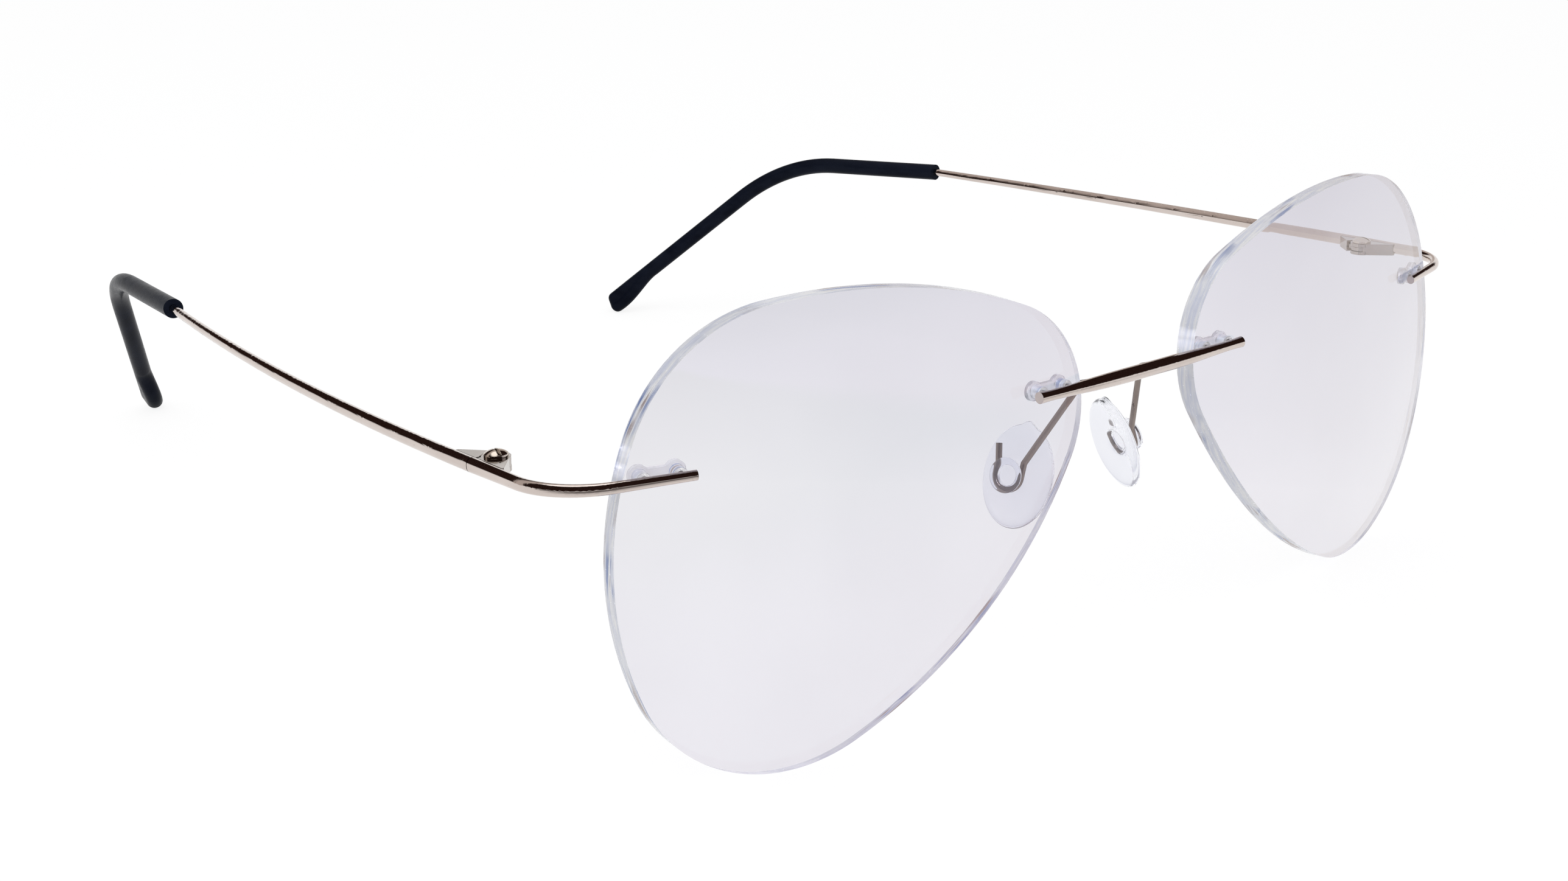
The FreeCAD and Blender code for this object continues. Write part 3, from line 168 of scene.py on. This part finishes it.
class Nodes:
    """A small wrapper that adds nodes to one material or world and links them."""

    def __init__(self, owner):
        owner.use_nodes = True
        self.tree = owner.node_tree
        self.tree.nodes.clear()

    def add(self, kind, **values):
        node = self.tree.nodes.new(kind)
        for key, value in values.items():
            setattr(node, key, value)
        return node

    def put(self, socket, value):
        """Links an output socket, or writes a plain value."""
        if isinstance(value, bpy.types.NodeSocket):
            self.tree.links.new(value, socket)
        elif hasattr(socket.default_value, "__len__") and not hasattr(value, "__len__"):
            socket.default_value = (value,) * len(socket.default_value)
        elif hasattr(value, "__len__") and len(value) == 3 and len(socket.default_value) == 4:
            socket.default_value = (*value, 1.0)
        else:
            socket.default_value = value

    def math(self, operation, first, second=0.0):
        node = self.add("ShaderNodeMath", operation=operation)
        self.put(node.inputs[0], first)
        self.put(node.inputs[1], second)
        return node.outputs[0]

    def ranged(self, value, low, high, to_low, to_high, smooth=False):
        node = self.add("ShaderNodeMapRange")
        if smooth:
            node.interpolation_type = "SMOOTHSTEP"
        for index, number in enumerate((value, low, high, to_low, to_high)):
            self.put(node.inputs[index], number)
        return node.outputs[0]

    def place(self, stretch=(1, 1, 1)):
        """Object coordinates in metres, stretched per axis."""
        coords = self.add("ShaderNodeTexCoord")
        mapping = self.add("ShaderNodeMapping")
        self.put(mapping.inputs["Vector"], coords.outputs["Object"])
        self.put(mapping.inputs["Scale"], stretch)
        return mapping.outputs[0]

    def noise(self, where, scale, detail=3.0, roughness=0.5):
        node = self.add("ShaderNodeTexNoise")
        self.put(node.inputs["Vector"], where)
        self.put(node.inputs["Scale"], scale)
        self.put(node.inputs["Detail"], detail)
        self.put(node.inputs["Roughness"], roughness)
        return node.outputs["Fac"]

    def colour(self, share, first, second):
        node = self.add("ShaderNodeMix", data_type="RGBA")
        self.put(node.inputs["Factor"], share)
        self.put(node.inputs["A"], first)
        self.put(node.inputs["B"], second)
        return node.outputs["Result"]

    def bump(self, height, strength, distance, surface=None):
        node = self.add("ShaderNodeBump")
        if surface is not None:
            self.put(node.inputs["Normal"], surface)
        self.put(node.inputs["Height"], height)
        self.put(node.inputs["Strength"], strength)
        self.put(node.inputs["Distance"], distance)
        return node.outputs[0]

    def rounded(self, radius):
        """The surface direction with corners softened over a small radius."""
        node = self.add("ShaderNodeBevel", samples=4)
        self.put(node.inputs["Radius"], radius)
        return node.outputs[0]

    def along(self, direction, axis):
        """How far a direction or place reaches along an axis."""
        node = self.add("ShaderNodeVectorMath", operation="DOT_PRODUCT")
        self.put(node.inputs[0], direction)
        self.put(node.inputs[1], axis)
        return node.outputs["Value"]

    def principled(self, **values):
        node = self.add("ShaderNodeBsdfPrincipled")
        for key, value in values.items():
            self.put(node.inputs[key.replace("_", " ")], value)
        return node.outputs[0]

    def mixed(self, share, first, second):
        node = self.add("ShaderNodeMixShader")
        self.put(node.inputs[0], share)
        self.tree.links.new(first, node.inputs[1])
        self.tree.links.new(second, node.inputs[2])
        return node.outputs[0]

    def light_path(self, *names):
        """1 for rays of any of the named kinds."""
        path = self.add("ShaderNodeLightPath")
        total = path.outputs[names[0]]
        for name in names[1:]:
            total = self.math("MAXIMUM", total, path.outputs[name])
        return total

    def inside_glass(self):
        """1 for rays that have already passed into a clear piece."""
        return self.math("MINIMUM", self.light_path("Transmission Depth"), 1.0)

    def surface(self, shader):
        output = self.add("ShaderNodeOutputMaterial")
        self.tree.links.new(shader, output.inputs["Surface"])


def new_material(name):
    material = bpy.data.materials.new(name)
    return material, Nodes(material)


# ---------------------------------------------------------------- materials

def metal_material(name, pale, deep, rough_low, rough_high, corner=0.0):
    """Polished plated wire: faint cloudy tone, hairline rubbing and a few small pits."""
    material, n = new_material(name)
    cloud = n.noise(n.place(), scale=180, detail=4)
    hairline = n.noise(n.place(stretch=(1, 0.12, 1)), scale=9000, detail=2)
    pits = n.noise(n.place(), scale=5200, detail=1)
    spots = n.ranged(pits, 0.72, 0.80, 0, 1, smooth=True)
    tone = n.colour(n.ranged(cloud, 0.3, 0.7, 0, 1), pale, deep)
    tone = n.colour(n.math("MULTIPLY", spots, 0.5), tone, PIT_TONE)
    rough = n.ranged(n.math("ADD", cloud, hairline), 0.6, 1.4, rough_low, rough_high)
    height = n.math("SUBTRACT", n.math("MULTIPLY", hairline, 0.4), spots)
    n.surface(n.principled(
        Base_Color=tone,
        Metallic=1.0,
        Roughness=rough,
        Normal=n.bump(height, 0.04, HAIRLINE_DEPTH, surface=n.rounded(corner) if corner else None),
    ))
    return material


def clear_shadow(n, shader, tint):
    """Lets lamp light pass through a clear part with a faint tint."""
    clear = n.add("ShaderNodeBsdfTransparent")
    n.put(clear.inputs[0], tint)
    return n.mixed(n.light_path("Is Shadow Ray"), shader, clear.outputs[0])


def lens_material(side):
    """Coated clear lens: polished faces with a faint grey tone, and a satin ground edge."""
    material, n = new_material("lens_look_" + ("left" if side > 0 else "right"))
    haze = n.noise(n.place(), scale=45)
    face = n.principled(
        Base_Color=n.colour(n.ranged(haze, 0.35, 0.65, 0, 1), FACE_DEEP, FACE_PALE),
        Roughness=n.ranged(haze, 0.3, 0.7, 0.0, 0.012),
        IOR=LENS_INDEX,
        Specular_IOR_Level=0.15,
        Transmission_Weight=1.0,
        Thin_Film_Thickness=LENS_FILM,
        Thin_Film_IOR=LENS_FILM_INDEX,
    )
    coords = n.add("ShaderNodeTexCoord")
    turned = n.add("ShaderNodeVectorRotate", rotation_type="Z_AXIS")
    n.put(turned.inputs["Vector"], coords.outputs["Object"])
    n.put(turned.inputs["Angle"], -LENS_TURN * side)
    bands = n.add("ShaderNodeMapping")
    n.put(bands.inputs["Vector"], turned.outputs[0])
    n.put(bands.inputs["Scale"], (0.08, 1.0, 0.08))
    streak = n.noise(bands.outputs[0], scale=3400, roughness=0.6)
    drift = n.noise(bands.outputs[0], scale=1700, detail=2)
    grain = n.noise(n.place(), scale=2600)
    patch = n.noise(n.place(), scale=150, detail=2)
    # The streaked edge tone is partly the ground glass's own frosted tone and partly painted reflection
    # bands.
    tone = n.colour(n.ranged(streak, 0.38, 0.62, 0, 1), EDGE_DEEP, EDGE_PALE)
    # Cool and warm lines on the edge are painted reflections, kept to a few patches.
    cool_reflection_lines = n.ranged(drift, 0.52, 0.60, 0, 0.9, smooth=True)
    warm_reflection_lines = n.ranged(drift, 0.48, 0.40, 0, 0.9, smooth=True)
    cool_reflection = n.math("MULTIPLY", cool_reflection_lines, n.ranged(patch, 0.45, 0.60, 0, 1))
    warm_reflection = n.math("MULTIPLY", warm_reflection_lines, n.ranged(patch, 0.50, 0.64, 0, 1))
    tone = n.colour(warm_reflection, n.colour(cool_reflection, tone, EDGE_COOL_REFLECTION), EDGE_WARM_REFLECTION)
    # Painted highlight: the chamfer turns pale where the rounded surface direction parts from the true one.
    true_normal = n.add("ShaderNodeNewGeometry").outputs["True Normal"]
    flatness = n.along(n.rounded(LENS_CHAMFER), true_normal)
    chamfer_highlight = n.ranged(flatness, *CHAMFER_HIGHLIGHT_FLATNESS, 0.85, 0, smooth=True)
    edge = n.principled(
        Base_Color=n.colour(chamfer_highlight, tone, CHAMFER_HIGHLIGHT_TONE),
        Roughness=n.ranged(grain, 0.3, 0.7, 0.10, 0.28),
        IOR=LENS_INDEX,
        Transmission_Weight=0.42,
        Normal=n.bump(streak, 0.15, SKIN_DEPTH),
    )
    axis = Vector((LENS_AXIS.x * side, LENS_AXIS.y, LENS_AXIS.z))
    facing = n.math("ABSOLUTE", n.along(true_normal, axis))
    is_edge = n.ranged(facing, *EDGE_FACING, 1, 0, smooth=True)
    n.surface(clear_shadow(n, n.mixed(is_edge, face, edge), LENS_SHADOW))
    return material


def clear_plastic(name, tone_low, tone_high, rough_low, rough_high, grain_size, bump, ior, clarity):
    """Clear moulded plastic with a faintly uneven skin."""
    material, n = new_material(name)
    cloud = n.noise(n.place(), scale=grain_size * 0.2)
    grain = n.noise(n.place(), scale=grain_size)
    body = n.principled(
        Base_Color=n.colour(n.ranged(cloud, 0.3, 0.7, 0, 1), tone_low, tone_high),
        Roughness=n.ranged(grain, 0.3, 0.7, rough_low, rough_high),
        IOR=ior,
        Transmission_Weight=clarity,
        Normal=n.bump(grain, bump, SKIN_DEPTH),
    )
    n.surface(clear_shadow(n, body, PLASTIC_SHADOW))
    return material


def tip_material():
    """Glossy black moulded tip with a slightly pebbled skin and faint rub marks."""
    material, n = new_material("tip_look")
    rub = n.noise(n.place(stretch=(1, 0.3, 1)), scale=420, detail=4)
    skin = n.noise(n.place(), scale=2600)
    n.surface(n.principled(
        Base_Color=n.colour(n.ranged(rub, 0.35, 0.7, 0, 1), TIP_DEEP, TIP_RUBBED),
        Roughness=n.ranged(n.math("ADD", rub, skin), 0.7, 1.3, 0.16, 0.32),
        IOR=1.08,
        Normal=n.bump(skin, 0.10, SKIN_DEPTH),
    ))
    return material


metal = metal_material(
    "metal_look", pale=(0.66, 0.585, 0.545), deep=(0.58, 0.505, 0.465), rough_low=0.04, rough_high=0.10)
# Hinge plates: a darker copy of the wire metal, which is painted shade.
shaded_hinge_metal = metal_material(
    "hinge_look_painted_shade", pale=(0.50, 0.45, 0.42), deep=(0.38, 0.34, 0.31), rough_low=0.06, rough_high=0.14,
    corner=METAL_CORNER)
# Pad arms: a much darker copy of the wire metal, which is painted shade.
shaded_arm_metal = metal_material(
    "arm_look_painted_shade", pale=(0.26, 0.215, 0.195), deep=(0.17, 0.138, 0.125), rough_low=0.05, rough_high=0.12)
pin_metal = metal_material(
    "pin_look", pale=(0.66, 0.60, 0.56), deep=(0.55, 0.50, 0.46), rough_low=0.10, rough_high=0.22)
screw_metal = metal_material(
    "screw_look", pale=(0.68, 0.61, 0.55), deep=(0.56, 0.49, 0.42), rough_low=0.06, rough_high=0.13,
    corner=METAL_CORNER)
tip_black = tip_material()
sleeve_clear = clear_plastic(
    "sleeve_look", tone_low=(0.90, 0.89, 0.90), tone_high=(0.97, 0.97, 0.98), rough_low=0.06, rough_high=0.18,
    grain_size=2400, bump=0.12, ior=1.30, clarity=0.75)
pad_clear = clear_plastic(
    "pad_look", tone_low=(0.87, 0.88, 0.925), tone_high=(0.91, 0.915, 0.95), rough_low=0.02, rough_high=0.07,
    grain_size=900, bump=0.03, ior=1.22, clarity=0.98)

LOOKS = {
    "bridge_bar": metal,
    "endpiece": metal,
    "front_hinge_leaf": shaded_hinge_metal,
    "temple_hinge_leaf": shaded_hinge_metal,
    "temple": metal,
    "pad_arm": shaded_arm_metal,
    "hinge_screw": screw_metal,
    "bridge_pins": pin_metal,
    "endpiece_pins": pin_metal,
    "temple_tip": tip_black,
    "bridge_sleeve": sleeve_clear,
    "endpiece_sleeve": sleeve_clear,
    "nose_pad": pad_clear,
}


def dress(name, material):
    for slot in nodes[name].material_slots:
        slot.material = material


for name in nodes:
    stem, _, end = name.rpartition("_")
    if stem == "lens":
        dress(name, lens_material(SIDES[end]))
    else:
        dress(name, LOOKS[name if name in LOOKS else stem])


# ---------------------------------------------------------------- nose pads

def tab_reach(across):
    """How far the moulding tab stands out past the oval rim, this far from its middle."""
    edge = abs(across) / TAB_HALF_WIDTH
    return TAB_REACH * (1 - edge ** 2) ** 2 if edge < 1 else 0.0


def plate_ring(share, depth):
    """One oval ring of the plate, in the pad's own frame, with the tab at its top."""
    points = []
    for step in range(PAD_STEPS):
        turn = 2 * math.pi * step / PAD_STEPS
        across = PAD_HALF_WIDTH * share * math.cos(turn)
        up = PAD_HALF_LENGTH * share * math.sin(turn)
        if up > 0 and TAB_DEPTHS[0] < depth < TAB_DEPTHS[1]:
            up += tab_reach(across)
        points.append((across - PAD_SHIFT, up, depth))
    return points


def hub_ring(radius, depth):
    """One round ring of the hub, in the pad's own frame."""
    turns = [2 * math.pi * step / PAD_STEPS for step in range(PAD_STEPS)]
    return [(radius * math.cos(turn), radius * math.sin(turn), depth) for turn in turns]


def pad_rings():
    """The whole skin, from the middle of the nose face round the rim and up over the hub."""
    plate = [plate_ring(share, depth) for share, depth in PLATE_RINGS]
    return plate + [hub_ring(radius, depth) for radius, depth in HUB_RINGS]


def build_pad(side_name):
    """A refined clear pad in place of the plain one, riding on the same body."""
    side = SIDES[side_name]
    mesh = bmesh.new()
    rings = []
    for ring in pad_rings():
        row = []
        for x, y, z in ring:
            place = PAD_PLACE + PAD_ACROSS * x + PAD_LONG * y + PAD_OUT * z
            row.append(mesh.verts.new((place.x * side * MM, place.y * MM, place.z * MM)))
        rings.append(row)
    for low, high in zip(rings, rings[1:]):
        for step in range(PAD_STEPS):
            ahead = (step + 1) % PAD_STEPS
            mesh.faces.new((low[step], low[ahead], high[ahead], high[step]))
    mesh.faces.new(rings[0])
    mesh.faces.new(rings[-1])
    bmesh.ops.recalc_face_normals(mesh, faces=mesh.faces)
    data = bpy.data.meshes.new("nose_pad_soft_" + side_name)
    mesh.to_mesh(data)
    mesh.free()
    data.shade_smooth()
    piece = bpy.data.objects.new("nose_pad_soft_" + side_name, data)
    bpy.context.scene.collection.objects.link(piece)
    data.materials.append(pad_clear)
    smooth = piece.modifiers.new("smooth", "SUBSURF")
    smooth.levels = 1
    smooth.render_levels = 1
    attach(piece, "pad_" + side_name)
    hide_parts("nose_pad_" + side_name)


for side_name in SIDES:
    build_pad(side_name)


# ---------------------------------------------------------------- floor, light and camera

def build_floor():
    mesh = bmesh.new()
    bmesh.ops.create_circle(mesh, cap_ends=True, segments=96, radius=FLOOR_RADIUS)
    data = bpy.data.meshes.new("floor")
    mesh.to_mesh(data)
    mesh.free()
    floor = bpy.data.objects.new("floor", data)
    floor.location.z = -FLOOR_DROP
    bpy.context.scene.collection.objects.link(floor)
    material, n = new_material("floor_look")
    paper = n.noise(n.place(), scale=900)
    matt = n.principled(
        Base_Color=n.colour(paper, (0.93, 0.93, 0.93), (0.96, 0.96, 0.96)),
        Roughness=n.ranged(paper, 0.3, 0.7, 0.85, 0.95),
        Specular_IOR_Level=0.1,
    )
    front_end = n.ranged(n.along(n.place(), TABLE_FRONT), *FRONT_END, 0, 1, smooth=True)
    right_side = n.ranged(n.along(n.place(), LEFTWARD), *RIGHT_SIDE, 1, 0, smooth=True)
    dark_end = n.math("SUBTRACT", n.math("MULTIPLY", front_end, right_side), n.inside_glass())
    mirrored = n.colour(dark_end, WHITE, DARK_TABLE)
    backwards = n.ranged(n.along(n.place(), ROOM_SIDE), *DEEPENING, 1, 0)
    through = n.colour(n.math("POWER", backwards, DEEPENING_CURVE), WHITE, DEEP_TABLE)
    tone = n.colour(n.light_path("Is Glossy Ray"), WHITE, mirrored)
    tone = n.colour(n.light_path("Is Transmission Ray"), tone, through)
    glow = n.add("ShaderNodeEmission")
    n.put(glow.inputs["Color"], tone)
    n.put(glow.inputs["Strength"], 1.0)
    seen = n.light_path("Is Camera Ray", "Is Glossy Ray", "Is Transmission Ray")
    n.surface(n.mixed(n.math("MULTIPLY", seen, FLOOR_GLOW), matt, glow.outputs[0]))
    data.materials.append(material)


def build_world():
    """White surroundings; the ceiling and the room in front are dark where metal and glass see them."""
    world = bpy.data.worlds.new("studio")
    bpy.context.scene.world = world
    n = Nodes(world)
    outward = n.add("ShaderNodeTexCoord").outputs["Generated"]
    skyline = n.ranged(n.along(outward, ROOM_SIDE), *SKYLINE_REACH, *SKYLINE_HEIGHT, smooth=True)
    height = n.math("SUBTRACT", n.along(outward, UPWARD), skyline)
    ceiling = n.ranged(height, 0, CEILING_FADE, 0, 1, smooth=True)
    dim = n.ranged(height, 0, ROOM_FADE, 0, 1)
    mirrored = n.colour(dim, WHITE, DARK_ROOM)
    off_arch = n.math("ABSOLUTE", n.math("SUBTRACT", n.along(outward, BACKWARD), ARCH_REACH))
    arch = n.ranged(off_arch, *ARCH_RIM, 1, 0, smooth=True)
    mirrored = n.colour(arch, mirrored, ARCH_TONE)
    lamp = n.ranged(n.along(outward, LAMP_SPOT), *LAMP_RIM, 0, 1, smooth=True)
    mirrored = n.colour(lamp, mirrored, LAMP_TONE)
    through = n.colour(ceiling, WHITE, CEILING_THROUGH)
    mirrored = n.colour(n.inside_glass(), mirrored, ROOM_INSIDE_GLASS)
    tone = n.colour(n.light_path("Is Glossy Ray"), ROOM_LIGHT, mirrored)
    tone = n.colour(n.light_path("Is Transmission Ray"), tone, through)
    tone = n.colour(n.light_path("Is Camera Ray"), tone, WHITE)
    background = n.add("ShaderNodeBackground")
    n.put(background.inputs["Color"], tone)
    n.put(background.inputs["Strength"], 1.0)
    output = n.add("ShaderNodeOutputWorld")
    n.tree.links.new(background.outputs[0], output.inputs["Surface"])


def add_lamp(name, place, target, size, power):
    lamp = bpy.data.lights.new(name, "AREA")
    lamp.shape = "DISK"
    lamp.size = size
    lamp.energy = power
    piece = bpy.data.objects.new(name, lamp)
    piece.location = place
    piece.rotation_mode = "QUATERNION"
    piece.rotation_quaternion = (Vector(target) - Vector(place)).to_track_quat("-Z", "Y")
    bpy.context.scene.collection.objects.link(piece)
    piece.visible_glossy = False


def build_camera():
    camera = bpy.data.cameras.new("camera")
    camera.lens = CAMERA_LENS
    camera.sensor_width = CAMERA_SENSOR
    camera.shift_x, camera.shift_y = CAMERA_SHIFT
    camera.clip_start = CAMERA_NEAR
    camera.clip_end = CAMERA_FAR
    piece = bpy.data.objects.new("camera", camera)
    turn = Matrix((CAMERA_RIGHT, CAMERA_UP, CAMERA_BACK)).transposed()
    piece.matrix_world = Matrix.Translation(CAMERA_PLACE) @ turn.to_4x4()
    bpy.context.scene.collection.objects.link(piece)
    bpy.context.scene.camera = piece


build_floor()
build_world()
add_lamp("soft_key", place=(-0.5, -0.35, 0.9), target=(0, 0, 0), size=0.8, power=6.0)
build_camera()
bpy.context.scene.view_settings.view_transform = "Standard"

bpy.context.view_layer.update()
